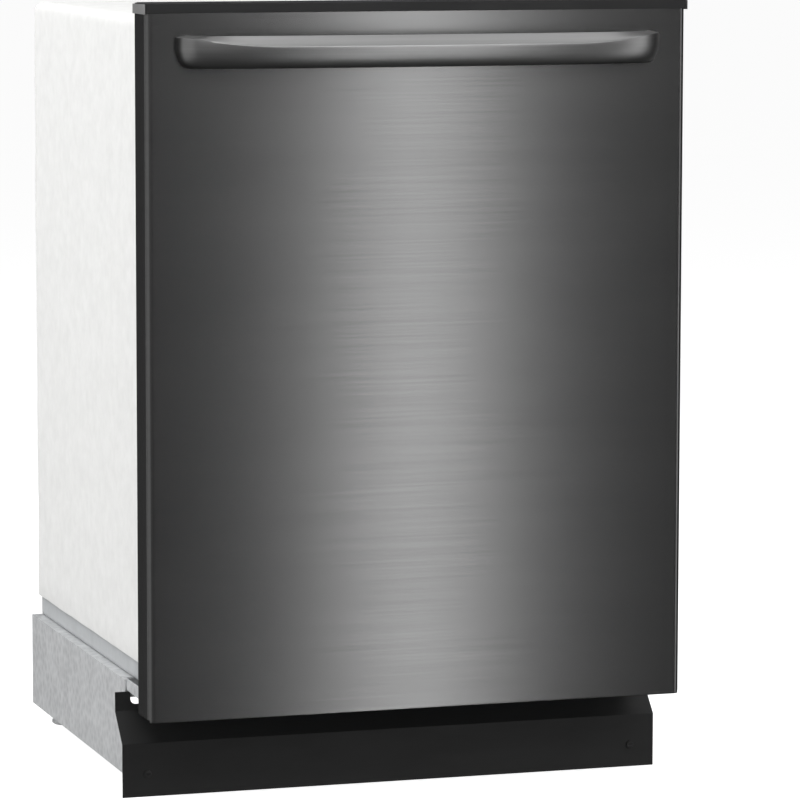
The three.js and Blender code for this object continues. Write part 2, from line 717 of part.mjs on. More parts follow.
place("tub", tub(), TUB_PLASTIC);
place("tub_gasket", gasket(), RUBBER);
place("insulation_blanket", blanket(), WHITE_FELT);
place("spray_feed_tube", feedTube(), GREY_PLASTIC);
place("heating_element", heater(), CHROME);
place("float_cap", floatCap(), GREY_PLASTIC);
place("sump", sump(), DARK_PLASTIC);
place("filter_cup", filterCup(), DARK_PLASTIC);
place("wash_pump", washPump(), DARK_PLASTIC);
place("drain_pump", drainPump(), DARK_PLASTIC);
place("inlet_valve", inletValve(), WHITE_FELT);
place("latch_strike", latchStrike(), CHROME);
placePair("mounting_bracket", mountingBracket(), GALVANISED);
placePair("rail_carrier", railCarrier(), GREY_PLASTIC);

place("base_frame", baseFrame(), GALVANISED);
place("kick_plate", kickPlate(), PAINTED_BLACK);
place("kick_screw_right", kickScrew(279), PAINTED_BLACK);
place("kick_screw_left", kickScrew(-279), PAINTED_BLACK);
placePair("hinge_bracket", hingeBracket(), GALVANISED);
placePair("spring_rod", springRod(), GALVANISED);
placePair("door_spring", doorSpring(), GALVANISED);
LEG.ys.forEach((y, i) => {
  const row = i === 0 ? "front" : "rear";
  place("leveling_leg_" + row + "_right", levelingLeg(LEG.x, y), GALVANISED);
  place("leveling_leg_" + row + "_left", levelingLeg(-LEG.x, y), GALVANISED);
});

place("lower_rack", lowerRack(), RACK_NYLON);
place("folding_tines", foldingTines(), RACK_NYLON);
place("silverware_basket", silverwareBasket(), GREY_PLASTIC);
LOWER_RACK.wheelsY.forEach((y, i) => {
  const row = i === 0 ? "front" : "rear";
  place("rack_wheel_" + row + "_right", rackWheel(1, y), GREY_PLASTIC);
  place("rack_wheel_" + row + "_left", rackWheel(-1, y), GREY_PLASTIC);
});
place("lower_spray_arm", lowerSprayArm(), GREY_PLASTIC);

place("upper_rack", upperRack(), RACK_NYLON);
placePair("upper_rail", upperRail(), CHROME);
place("upper_feed_pipe", upperFeedPipe(), GREY_PLASTIC);
place("upper_spray_arm", upperSprayArm(), GREY_PLASTIC);
place("cup_shelf", cupShelf(), RACK_NYLON);

export default assembly;
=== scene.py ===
"""Looks of a built in dishwasher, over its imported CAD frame. Metres, +Z up, the door faces -Y."""

import math

import bmesh
import bpy
from mathutils import Matrix, Vector, noise


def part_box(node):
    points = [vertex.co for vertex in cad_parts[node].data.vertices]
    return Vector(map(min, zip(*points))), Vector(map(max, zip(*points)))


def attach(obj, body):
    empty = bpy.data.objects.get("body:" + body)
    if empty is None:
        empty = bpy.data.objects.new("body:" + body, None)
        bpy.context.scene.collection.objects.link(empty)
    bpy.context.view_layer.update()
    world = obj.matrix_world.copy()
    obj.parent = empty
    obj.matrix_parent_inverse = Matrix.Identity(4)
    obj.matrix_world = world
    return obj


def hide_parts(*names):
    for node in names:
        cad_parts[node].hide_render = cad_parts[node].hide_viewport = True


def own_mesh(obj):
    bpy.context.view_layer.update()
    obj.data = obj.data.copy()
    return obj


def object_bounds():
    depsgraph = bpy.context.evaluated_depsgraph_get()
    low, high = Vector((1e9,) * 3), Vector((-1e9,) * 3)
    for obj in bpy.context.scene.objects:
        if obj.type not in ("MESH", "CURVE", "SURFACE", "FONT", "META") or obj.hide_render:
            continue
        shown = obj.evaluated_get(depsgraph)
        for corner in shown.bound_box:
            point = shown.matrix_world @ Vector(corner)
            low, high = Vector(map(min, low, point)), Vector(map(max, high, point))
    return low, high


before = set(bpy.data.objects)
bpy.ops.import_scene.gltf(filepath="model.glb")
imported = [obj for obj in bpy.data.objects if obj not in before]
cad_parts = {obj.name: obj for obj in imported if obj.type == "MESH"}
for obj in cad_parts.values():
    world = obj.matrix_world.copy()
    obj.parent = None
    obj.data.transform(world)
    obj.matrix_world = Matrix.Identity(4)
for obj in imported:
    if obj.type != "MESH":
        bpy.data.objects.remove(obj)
CAD_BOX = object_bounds()

# ---- Where things are, from the frame.
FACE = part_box("door_panel")[0].y

# ---- The camera's place round the door, from a fit to the photograph's edges.
LENS, SENSOR = 204.1, 36.0  # mm
CAMERA_AZIMUTH = math.radians(-17.64)
CAMERA_ELEVATION = math.radians(6.94)
CAMERA_ROLL = math.radians(0.087)
CAMERA_DISTANCE = 4.864
CAMERA_TARGET = Vector((-0.0223, FACE, 0.4382))


def polar(azimuth, elevation=0.0):
    """Unit vector towards an azimuth (0 is the door's front, positive to its right) and an elevation."""
    flat = math.cos(elevation)
    return Vector((math.sin(azimuth) * flat, -math.cos(azimuth) * flat, math.sin(elevation)))


# ---- Materials.
class Shader:
    """A material under construction: one Principled shader, with helpers for what drives its sockets."""

    def __init__(self, name, colour, roughness, metallic=0.0, **sockets):
        self.material = bpy.data.materials.new(name)
        self.material.use_nodes = True
        self.tree = self.material.node_tree
        self.bsdf = self.tree.nodes["Principled BSDF"]
        self.bsdf.inputs["Base Color"].default_value = (*colour, 1)
        self.bsdf.inputs["Roughness"].default_value = roughness
        self.bsdf.inputs["Metallic"].default_value = metallic
        for socket, value in sockets.items():
            self.bsdf.inputs[socket.replace("_", " ")].default_value = value
        self.place = self.node("ShaderNodeTexCoord").outputs["Object"]
        self.normal = None

    def node(self, kind, **settings):
        made = self.tree.nodes.new(kind)
        for key, value in settings.items():
            setattr(made, key, value)
        return made

    def link(self, source, target):
        self.tree.links.new(source, target)

    def texture(self, kind, scale, stretch=(1, 1, 1), **sockets):
        """A texture that stays with the object. Scale is in grains a metre, times stretch on each axis."""
        mapping = self.node("ShaderNodeMapping")
        mapping.inputs["Scale"].default_value = stretch
        made = self.node(kind)
        for socket, value in {"Scale": scale, **sockets}.items():
            made.inputs[socket].default_value = value
        self.link(self.place, mapping.inputs["Vector"])
        self.link(mapping.outputs["Vector"], made.inputs["Vector"])
        return made

    def noise(self, scale, stretch=(1, 1, 1), detail=3.0, rough=0.55):
        made = self.texture("ShaderNodeTexNoise", scale, stretch, Detail=detail, Roughness=rough)
        return made.outputs["Fac"]

    def cells(self, scale):
        return self.texture("ShaderNodeTexVoronoi", scale).outputs["Distance"]

    def ramp(self, value, low, high, start=0.3, end=0.7):
        """A colour, or a grey, that runs from low to high as value runs from start to end."""
        made = self.node("ShaderNodeValToRGB")
        for stop, position, level in zip(made.color_ramp.elements, (start, end), (low, high)):
            stop.position = position
            stop.color = (*level, 1) if isinstance(level, (tuple, list)) else (level, level, level, 1)
        self.link(value, made.inputs["Fac"])
        return made.outputs["Color"]

    def vary_colour(self, value, low, high, start=0.3, end=0.7):
        self.link(self.ramp(value, low, high, start, end), self.bsdf.inputs["Base Color"])

    def vary_roughness(self, value, low, high):
        self.link(self.ramp(value, low, high), self.bsdf.inputs["Roughness"])

    def bump(self, height, strength, distance):
        """Raises the surface by height, on top of any round edges. It ends a material's recipe."""
        made = self.node("ShaderNodeBump")
        made.inputs["Strength"].default_value = strength
        made.inputs["Distance"].default_value = distance
        self.link(height, made.inputs["Height"])
        if self.normal:
            self.link(self.normal, made.inputs["Normal"])
        self.normal = made.outputs["Normal"]
        self.link(self.normal, self.bsdf.inputs["Normal"])
        return self

    def round_edges(self, radius):
        """Softens the hard edges of a solid in the shading. It goes before any bump."""
        made = self.node("ShaderNodeBevel", samples=4)
        made.inputs["Radius"].default_value = radius
        self.normal = made.outputs["Normal"]
        self.link(self.normal, self.bsdf.inputs["Normal"])

    def brushed_across(self):
        """Turns the highlight's long side across grain that runs level round the object."""
        tangent = self.node("ShaderNodeTangent", direction_type="RADIAL", axis="Z")
        self.link(tangent.outputs["Tangent"], self.bsdf.inputs["Tangent"])
        self.bsdf.inputs["Anisotropic Rotation"].default_value = 0.25


def brushed_steel(name, dark, light, roughness, anisotropic):
    """Dark stainless steel with level brush lines a few millimetres apart and faint duller patches."""
    made = Shader(name, light, roughness, 1.0, Anisotropic=anisotropic)
    streaks = made.noise(1.0, (5, 5, 420), detail=1)
    patches = made.noise(5.0, (1, 1, 3), detail=2)
    made.vary_colour(streaks, dark, light, 0.25, 0.75)
    made.vary_roughness(patches, roughness - 0.006, roughness + 0.006)
    made.brushed_across()
    return made.bump(streaks, 0.015, 0.0001)


def moulded(name, colour, roughness, edge=0.0006, speckle=0.06, grain=2500.0, gloss=0.5):
    """Satin moulded plastic: a fine grain, slow patches of wear in the gloss, edges that catch light."""
    lighter = tuple(min(1.0, c * (1 + speckle)) for c in colour)
    darker = tuple(c * (1 - speckle) for c in colour)
    made = Shader(name, colour, roughness, Specular_IOR_Level=gloss)
    made.round_edges(edge)
    made.vary_colour(made.noise(40.0, detail=4), darker, lighter)
    made.vary_roughness(made.noise(9.0, detail=5), max(0.05, roughness - 0.07), roughness + 0.08)
    return made.bump(made.cells(grain), 0.25, 0.00005)


def galvanised(name):
    """Zinc coated sheet with its spangle and a few duller patches."""
    made = Shader(name, (0.7, 0.71, 0.72), 0.5, 0.45)
    made.round_edges(0.0005)
    made.vary_colour(made.cells(110.0), (0.62, 0.63, 0.64), (0.78, 0.79, 0.8), 0.1, 0.8)
    made.vary_roughness(made.noise(30.0, detail=5), 0.42, 0.6)
    return made.bump(made.noise(400.0), 0.08, 0.0001)


def powder_coat(name, colour, roughness):
    """Powder coated sheet: an orange peel surface and faint scuffs."""
    made = Shader(name, colour, roughness, Specular_IOR_Level=0.4)
    made.round_edges(0.0012)
    scuffs = made.noise(14.0, (1, 1, 4), detail=6, rough=0.7)
    made.vary_colour(scuffs, tuple(c * 0.92 for c in colour), tuple(c * 1.12 for c in colour))
    made.vary_roughness(scuffs, roughness - 0.05, roughness + 0.08)
    return made.bump(made.noise(900.0, detail=2), 0.12, 0.00012)


def polished(name, colour, roughness):
    """Bright drawn steel, with faint draw lines."""
    made = Shader(name, colour, roughness, 1.0)
    made.round_edges(0.0004)
    made.vary_roughness(made.noise(60.0, (1, 8, 1), detail=5), roughness * 0.7, roughness * 1.5)
    return made.bump(made.noise(300.0, (1, 6, 1)), 0.04, 0.00005)


def felt(name):
    """Pressed pale fibre."""
    made = Shader(name, (0.76, 0.76, 0.75), 0.95)
    fibres = made.noise(260.0, (1, 1, 0.4), detail=8, rough=0.75)
    made.vary_colour(made.noise(60.0, detail=6), (0.73, 0.73, 0.72), (0.79, 0.79, 0.78))
    return made.bump(fibres, 0.4, 0.0008)


def rubber(name):
    """Dull black rubber."""
    made = Shader(name, (0.02, 0.02, 0.021), 0.75)
    made.round_edges(0.0005)
    made.vary_roughness(made.noise(50.0, detail=4), 0.62, 0.88)
    return made.bump(made.noise(1200.0), 0.2, 0.0001)


BLACK_STEEL = brushed_steel("black_steel", (0.142,) * 3, (0.158,) * 3, 0.262, 0.35)
HANDLE_STEEL = brushed_steel("handle_steel", (0.24,) * 3, (0.265,) * 3, 0.36, 0.3)
CONSOLE_BLACK = moulded("console_black", (0.007, 0.007, 0.0074), 0.5, edge=0.0012, gloss=0.32)
CAP_GREY = moulded("cap_grey", (0.17, 0.17, 0.17), 0.45)
KEY_BLACK = moulded("key_black", (0.03, 0.03, 0.031), 0.35)
KICK_BLACK = powder_coat("kick_black", (0.0055, 0.0055, 0.0055), 0.55)
SCREW_BLACK = powder_coat("screw_black", (0.006, 0.006, 0.006), 0.4)
LINER_GREY = moulded("liner_grey", (0.36, 0.37, 0.38), 0.42, edge=0.004)
TUB_GREY = moulded("tub_grey", (0.5, 0.515, 0.525), 0.4, edge=0.006, speckle=0.07)
PART_GREY = moulded("part_grey", (0.3, 0.31, 0.32), 0.42)
PART_DARK = moulded("part_dark", (0.04, 0.043, 0.047), 0.45)
PART_PALE = moulded("part_pale", (0.55, 0.55, 0.53), 0.45)
ZINC = galvanised("zinc")
BRIGHT = polished("bright_steel", (0.62, 0.62, 0.63), 0.22)
FELT = felt("blanket_felt")
RUBBER = rubber("seal_rubber")
NYLON = moulded("rack_nylon", (0.2, 0.215, 0.23), 0.38, edge=0.0004, grain=1500.0)


# ---- Making pieces.
def centre_of(node):
    lo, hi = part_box(node)
    return (lo + hi) / 2


def piece(name, bm, material, body, replaces=(), smooth=40.0):
    """Turns bm into a piece of the object that rides on a CAD body."""
    mesh = bpy.data.meshes.new(name)
    bmesh.ops.recalc_face_normals(bm, faces=bm.faces)
    bm.to_mesh(mesh)
    bm.free()
    made = bpy.data.objects.new(name, mesh)
    bpy.context.scene.collection.objects.link(made)
    mesh.materials.append(material.material)
    mesh.shade_smooth()
    mesh.set_sharp_from_angle(angle=math.radians(smooth))
    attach(made, body)
    if replaces:
        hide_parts(*replaces)
    return made


def thicken(made, amount, offset, smooth=30.0):
    """Gives a skin its sheet's thickness, with crisp rims."""
    sheet = made.modifiers.new("sheet", "SOLIDIFY")
    sheet.thickness, sheet.offset = amount, offset
    bpy.context.view_layer.update()
    mesh = bpy.data.meshes.new_from_object(made.evaluated_get(bpy.context.evaluated_depsgraph_get()))
    made.modifiers.clear()
    made.data = mesh
    mesh.set_sharp_from_angle(angle=math.radians(smooth))


def skin(bm, rings, looped=False):
    """Skins a row of equal rings of points, and caps both ends unless looped joins them."""
    rows = [[bm.verts.new(p) for p in ring] for ring in rings]
    count = len(rows[0])
    for a, b in zip(rows, rows[1:] + rows[:1] if looped else rows[1:]):
        for i in range(count):
            j = (i + 1) % count
            bm.faces.new((a[i], a[j], b[j], b[i]))
    if not looped:
        bm.faces.new(rows[0])
        bm.faces.new(rows[-1])


def arc(centre_u, centre_v, radius, start, end, count):
    """Points on an arc, angles in degrees."""
    angles = [math.radians(start + (end - start) * i / count) for i in range(count + 1)]
    return [(centre_u + radius * math.cos(a), centre_v + radius * math.sin(a)) for a in angles]


def circle(radius, sides):
    """Points of a regular polygon round the origin."""
    return arc(0, 0, radius, 0, 360, sides)[:-1]


def bent(points, radius, steps=5, closed=False):
    """A line of straight runs with its corners turned round at up to the radius."""
    points = [Vector(p) for p in points]
    count = len(points)
    line = []
    for i, p in enumerate(points):
        if not closed and i in (0, count - 1):
            line.append(p)
            continue
        a, b = points[i - 1] - p, points[(i + 1) % count] - p
        reach = min(radius, a.length * 0.49, b.length * 0.49)
        start, end = p + a.normalized() * reach, p + b.normalized() * reach
        for k in range(steps + 1):
            t = k / steps
            line.append(start * (1 - t) ** 2 + p * (2 * t * (1 - t)) + end * t**2)
    return line


def sweep(bm, line, section, closed=False, up=None):
    """A bar along a line. The section is (side, up) points, or a radius. up fixes how it stands."""
    if isinstance(section, float):
        section = circle(section, 8)
    line = [Vector(p) for p in line]
    count, rings, side = len(line), [], None
    for i, p in enumerate(line):
        ahead = line[(i + 1) % count] if closed or i < count - 1 else p
        behind = line[i - 1] if closed or i else p
        tangent = (ahead - behind).normalized()
        if up:
            side = tangent.cross(Vector(up)).normalized()
        elif side is None:
            side = tangent.orthogonal().normalized()
        else:
            side = (side - tangent * side.dot(tangent)).normalized()
        rise = side.cross(tangent)
        rings.append([p + side * u + rise * v for u, v in section])
    skin(bm, rings, looped=closed)


# Each axis with the two directions across it, in right-handed order.
AXES = {"x": ((0, 1, 0), (0, 0, 1)), "y": ((0, 0, 1), (1, 0, 0)), "z": ((1, 0, 0), (0, 1, 0))}


def spokes(axis, sides):
    """The direction along an axis, and a wheel of directions out from it."""
    u, v = (Vector(a) for a in AXES[axis])
    return u.cross(v), [u * x + v * y for x, y in circle(1.0, sides)]


def turn(bm, profile, centre, axis="z", sides=32):
    """A profile of (radius, distance along the axis) points, turned about an axis through the centre."""
    along, out = spokes(axis, sides)
    centre = Vector(centre)
    skin(bm, [[centre + along * h + o * max(r, 1e-5) for o in out] for r, h in profile])


def ringed(bm, profile, centre, axis="z", sides=40):
    """A closed profile of (radius, distance along the axis) points, turned into a ring."""
    along, out = spokes(axis, sides)
    centre = Vector(centre)
    skin(bm, [[centre + along * h + o * r for r, h in profile] for o in out], looped=True)


def prism(bm, outline, axis, start, end):
    """An outline of (u, v) points in the plane across an axis, drawn out from start to end."""
    u, v = (Vector(a) for a in AXES[axis])
    along = u.cross(v)
    skin(bm, [[u * a + v * b + along * h for a, b in outline] for h in (start, end)])


def rounded_rect(u0, u1, v0, v1, radius, steps=4):
    """The outline of a rectangle with round corners."""
    r = min(radius, (u1 - u0) / 2 - 1e-5, (v1 - v0) / 2 - 1e-5)
    corners = [(u1 - r, v1 - r, 0), (u0 + r, v1 - r, 90), (u0 + r, v0 + r, 180), (u1 - r, v0 + r, 270)]
    return [p for cu, cv, a in corners for p in arc(cu, cv, r, a, a + 90, steps)]


def spaced(low, high, count):
    """Evenly spaced values, both ends included."""
    return [low + (high - low) * i / (count - 1) for i in range(count)]


# ---- Door.
def make_door_panel():
    """Sheet steel that turns back round both upright corners and in under the foot."""
    lo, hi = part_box("door_panel")
    corner, sheet, hem, fillet, relief = 0.007, 0.0012, 0.012, 0.0008, 0.0033
    tuck = 0.0003  # closes the gap under the console
    steps = 10  # round each corner
    half, back, bottom, top = hi.x, hi.y, lo.z, hi.z + tuck

    def plan(inset):
        """The outline from the left rear edge round the front to the right rear edge."""
        r = corner - inset
        left = arc(-half + corner, FACE + corner, r, 180, 270, steps)
        right = arc(half - corner, FACE + corner, r, 270, 360, steps)
        return [(-half + inset, back), *left, *right, (half - inset, back)]

    bm = bmesh.new()
    turns = reversed(spaced(0, math.pi / 2, 5))
    foot = [(fillet * (1 - math.cos(t)), bottom + fillet * (1 - math.sin(t))) for t in turns]
    heights = foot + [(0, bottom + relief)] + [(0, z) for z in spaced(bottom + 0.02, top, 7)]
    rows = [[bm.verts.new((x, y, z)) for x, y in plan(inset)] for inset, z in heights]
    start, end = steps // 2, len(rows[0]) - steps // 2
    for k, (a, b) in enumerate(zip(rows, rows[1:])):
        # The sides and the outer part of each corner stop short of the foot.
        first, last = (start, end) if k < len(foot) else (0, len(a))
        for i in range(first, last - 1):
            bm.faces.new((a[i], a[i + 1], b[i + 1], b[i]))
    lip = [bm.verts.new((v.co.x * 0.99, FACE + hem, bottom)) for v in rows[0][start:end]]
    for i in range(len(lip) - 1):
        bm.faces.new((lip[i], lip[i + 1], rows[0][start + i + 1], rows[0][start + i]))
    bmesh.ops.delete(bm, geom=[v for v in bm.verts if not v.link_faces], context="VERTS")
    made = piece("door_skin", bm, BLACK_STEEL, "door", ["door_panel"])
    thicken(made, sheet, -1)


def handle_section(top, melt):
    """(out, up) points round the bar. Its bevel runs from the top edge down to a crease, and melt, from 0
    to 1, lifts the crease up to the top edge."""
    crease = Vector((0.0083 - 0.0006 * melt, 0.0064 + 0.0088 * melt))
    edge = Vector((-0.0014, top))
    low = [(0.0082, 0.002), (0.0076, -0.0012), (0.0068, -0.0044), (0.0058, -0.0076), (0.0045, -0.0106)]
    under = [(0.003, -0.0133), (0.0012, -0.0155), (-0.0004, -0.0168), (-0.0018, -top), (-0.0034, -0.0168)]
    back = [(-0.0054, -0.0152), (-0.0072, -0.0115), (-0.008, -0.006), (-0.0082, 0.0), (-0.008, 0.006)]
    crown = [(-0.007, 0.0115), (-0.0052, 0.0153), (-0.0038, top - 0.0005), (-0.0026, top)]
    bevel = [edge.lerp(crease, t) for t in (0.0, 0.06, 0.5, 0.88)]
    nose = [crease + Vector((0.0002, -0.0003)), crease + Vector((0.0003, -0.0014))]
    return [*low, *under, *back, *crown, *bevel, *nose]


def make_handle():
    """A bar with a flat bevel along its top edge, bowed out of the door."""
    lo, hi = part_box("door_handle")
    section_depth, bow, fullness = 0.011, 0.042, 2.6
    half = hi.x - section_depth
    middle, top = (lo.z + hi.z) / 2, (hi.z - lo.z) / 2
    melt_start, melt_run = 0.6, 0.38  # shares of the half length

    def reach(value):
        return math.copysign(abs(value) ** (2 / fullness), value)

    # The bar's middle line is half of a superellipse, walked in equal steps.
    dense = spaced(0, math.pi, 901)
    line = [Vector((-half * reach(math.cos(t)), FACE - bow * abs(reach(math.sin(t))), 0)) for t in dense]
    lengths = [0.0]
    for a, b in zip(line, line[1:]):
        lengths.append(lengths[-1] + (b - a).length)
    count, path, k = 140, [], 0
    for i in range(count + 1):
        want = lengths[-1] * i / count
        while k < len(lengths) - 2 and lengths[k + 1] < want:
            k += 1
        path.append(line[k].lerp(line[k + 1], (want - lengths[k]) / (lengths[k + 1] - lengths[k])))
    rings = []
    for i, p in enumerate(path):
        along = (path[min(i + 1, count)] - path[max(i - 1, 0)]).normalized()
        out = Vector((along.y, -along.x, 0))
        melt = min(1.0, max(0.0, (abs(p.x) / half - melt_start) / melt_run))
        section = handle_section(top, melt**2)
        rings.append([p + out * v + Vector((0, 0, middle + u)) for v, u in section])
    bm = bmesh.new()
    skin(bm, rings)
    whole = bm.verts[:] + bm.edges[:] + bm.faces[:]
    foot = (0, FACE - 0.0003, 0)
    bmesh.ops.bisect_plane(bm, geom=whole, plane_co=foot, plane_no=(0, 1, 0), clear_outer=True)
    bmesh.ops.holes_fill(bm, edges=[e for e in bm.edges if e.is_boundary])
    piece("handle_bar", bm, HANDLE_STEEL, "door", ["door_handle"], smooth=50)


def make_gasket():
    """The soft lip seal round the tub's mouth."""
    lo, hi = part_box("tub_gasket")
    inset, corner = 0.0035, 0.022
    x, top, y = hi.x - inset, hi.z - inset, (lo.y + hi.y) / 2
    line = bent([(-x, y, lo.z), (-x, y, top), (x, y, top), (x, y, lo.z)], corner, 8)
    d = (hi.y - lo.y) / 2
    bulb = [(0.0034, d), (0.0034, -0.2 * d), (0.0024, -0.85 * d), (0.001, -d), (-0.0006, -0.5 * d)]
    section = [*bulb, (-0.0018, -0.9 * d), (-0.003, -0.8 * d), (-0.0034, 0), (-0.0034, d)]
    bm = bmesh.new()
    sweep(bm, line, section, up=(0, 1, 0))
    piece("mouth_seal", bm, RUBBER, "cabinet", ["tub_gasket"])


# ---- Tub's surroundings.
def make_blanket():
    """The pressed fibre mat that hangs over the tub: quilted a little, with crimped rims."""
    lo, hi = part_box("insulation_blanket")
    thick, radius, pitch, inset = 0.0055, 0.014, 0.012, 0.0004
    x, top = hi.x - inset, hi.z - inset
    inside = Vector((0, 0, (lo.z + hi.z) / 2))
    corners = bent([(-x, 0, lo.z), (-x, 0, top), (x, 0, top), (x, 0, lo.z)], radius, 6)
    line = []
    for a, b in zip(corners, corners[1:]):
        steps = max(1, round((b - a).length / pitch))
        line += [a.lerp(b, i / steps) for i in range(steps)]
    line.append(corners[-1])
    depths, seams = spaced(lo.y, hi.y, 44), spaced(lo.y, hi.y, 4)[1:-1]

    def dent(distance, deep, wide):
        return deep * math.exp(-((distance / wide) ** 2))

    def surface(inwards):
        rows = []
        for i, p in enumerate(line):
            along = (line[min(i + 1, len(line) - 1)] - line[max(i - 1, 0)]).normalized()
            into = Vector((along.z, 0, -along.x))
            if into.dot(inside - p) < 0:
                into = -into
            hanging = abs(p.x) > x - 0.001
            row = []
            for y in depths:
                at = Vector((p.x, y, p.z))
                sag = 0.0009 * (0.5 + noise.noise(at * 14)) + 0.0005 * noise.noise(at * 45)
                edge = min(y - lo.y, hi.y - y, p.z - lo.z if hanging else 1)
                crimp = dent(edge, 0.0022, 0.006)
                quilting = sum(dent(y - seam, 0.0016, 0.0035) for seam in seams)
                depth = thick - crimp * 0.6 if inwards else max(0.0, sag) + crimp + quilting
                row.append(at + into * depth)
            rows.append(row)
        return rows

    def rim(rows):
        """The points round a sheet's edge, in order."""
        far, near = [r[-1] for r in rows[1:-1]], [r[0] for r in rows[-2:0:-1]]
        return [*rows[0], *far, *reversed(rows[-1]), *near]

    bm = bmesh.new()
    sheets = []
    for inwards in (False, True):
        sheets.append([[bm.verts.new(p) for p in row] for row in surface(inwards)])
    for rows in sheets:
        for a, b in zip(rows, rows[1:]):
            for i in range(len(a) - 1):
                bm.faces.new((a[i], a[i + 1], b[i + 1], b[i]))
    outer, inner = (rim(rows) for rows in sheets)
    for i in range(len(outer)):
        j = (i + 1) % len(outer)
        bm.faces.new((outer[i], outer[j], inner[j], inner[i]))
    made = piece("fibre_blanket", bm, FELT, "cabinet", ["insulation_blanket"])


def make_tub_coves():
    """Coves and pressed ribs that make the tub's box a moulded one."""
    lo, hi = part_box("tub")
    wall, back, ceiling, floor = 0.280, hi.y - 0.004, 0.838, 0.131
    front, r = lo.y + 0.004, 0.028
    cove = [(0, 0), *[(r - r * math.sin(a), r - r * math.cos(a)) for a in spaced(0, math.pi / 2, 9)]]
    bm = bmesh.new()
    for sign in (1, -1):
        prism(bm, [(sign * (wall - u), back - v) for u, v in cove], "z", floor, ceiling)
        prism(bm, [(ceiling - v, sign * (wall - u)) for u, v in cove], "y", front, back)
    prism(bm, [(back - u, ceiling - v) for u, v in cove], "x", -wall, wall)
    piece("tub_coves", bm, TUB_GREY, "cabinet")
    ribs = bmesh.new()
    proud, corner, high = 0.0011, 0.03, (0.63, 0.80)
    section = [(-0.004, 0), (-0.0025, proud), (0.0025, proud), (0.004, 0)]
    for x0, x1 in ((-0.235, -0.04), (0.04, 0.235)):
        for z0, z1 in ((0.20, 0.47), high):
            loop = [(a, back, b) for a, b in rounded_rect(x0, x1, z0, z1, corner, 6)]
            sweep(ribs, loop, section, True, (0, -1, 0))
    for sign in (1, -1):
        for z0, z1 in ((0.20, 0.46), high):
            face = rounded_rect(front + 0.05, back - 0.06, z0, z1, corner, 6)
            sweep(ribs, [(sign * wall, a, b) for a, b in face], section, True, (-sign, 0, 0))
    piece("tub_ribs", ribs, TUB_GREY, "cabinet")


def make_heater():
    """The heating element's bare tube, with the clips that hold it off the floor."""
    lo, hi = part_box("heating_element")
    tube, bend = 0.0032, 0.045
    x, front, back, z = 0.196, lo.y + 0.0034, hi.y - 0.0046, 0.137
    end = [(-0.045, back, z - 0.0024), (-0.070, back, z), (-0.160, back - 0.001, z)]
    side = [(-x + 0.002, back - 0.012, z), (-x, back - 0.06, z), (-x, front + 0.05, z), (-x, front, z)]
    runs = [*end, *side, (-0.060, front, z)]
    line = bent([*runs, *[(-a, b, c) for a, b, c in reversed(runs)]], bend, 8)
    bm = bmesh.new()
    sweep(bm, line, circle(tube, 12))
    piece("heater_tube", bm, BRIGHT, "cabinet", ["heating_element"])
    clips = bmesh.new()
    band = [(-0.0006, -0.003), (0.0006, -0.003), (0.0006, 0.003), (-0.0006, 0.003)]
    spread, foot, from_ends = 0.0045, z - 0.0052, 0.11
    for sign in (1, -1):
        for y in (front + from_ends, back - from_ends):
            hoop = [(sign * x - a, z + b) for a, b in arc(0, 0, 0.0042, 0, 180, 8)]
            hoop = [(sign * x - spread, foot), *reversed(hoop), (sign * x + spread, foot)]
            sweep(clips, [(a, y, b) for a, b in hoop], band, up=(0, 1, 0))
    piece("heater_clips", clips, BRIGHT, "cabinet")


def make_float():
    """A shallow dome with a ring on its crown."""
    lo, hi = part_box("float_cap")
    r, rise = (hi.x - lo.x) / 2, hi.z - lo.z
    crown = [(r - 0.004 + u, rise - 0.006 + v) for u, v in arc(0, 0, 0.004, 0, 75, 5)]
    profile = [(0, 0.0004), (r - 0.003, 0), (r - 0.001, 0), (r, 0.0012), (r - 0.0006, 0.008), *crown]
    profile += [(r - 0.008, rise - 0.0014), (0.007, rise), (0.005, rise - 0.0012), (0, rise - 0.0014)]
    bm = bmesh.new()
    turn(bm, profile, ((lo.x + hi.x) / 2, (lo.y + hi.y) / 2, lo.z), sides=40)
    piece("float_dome", bm, PART_GREY, "float_cap", ["float_cap"])


# ---- Balance springs and legs.
def make_spring(side):
    """A close coil of wire along the spring's length."""
    node = f"door_spring_{side}"
    lo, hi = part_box(node)
    wire, turns, steps = 0.0011, 52, 14
    centre = centre_of(node)
    r = (hi.x - lo.x) / 2 - wire
    start, end = lo.y + wire, hi.y - wire
    line = []
    for i in range(turns * steps + 1):
        a = 2 * math.pi * i / steps
        y = start + (end - start) * i / (turns * steps)
        line.append((centre.x + r * math.cos(a), y, centre.z + r * math.sin(a)))
    bm = bmesh.new()
    sweep(bm, line, circle(wire, 6))
    made = piece(f"spring_coil_{side}", bm, ZINC, "cabinet", [node], smooth=80)
    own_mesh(made)


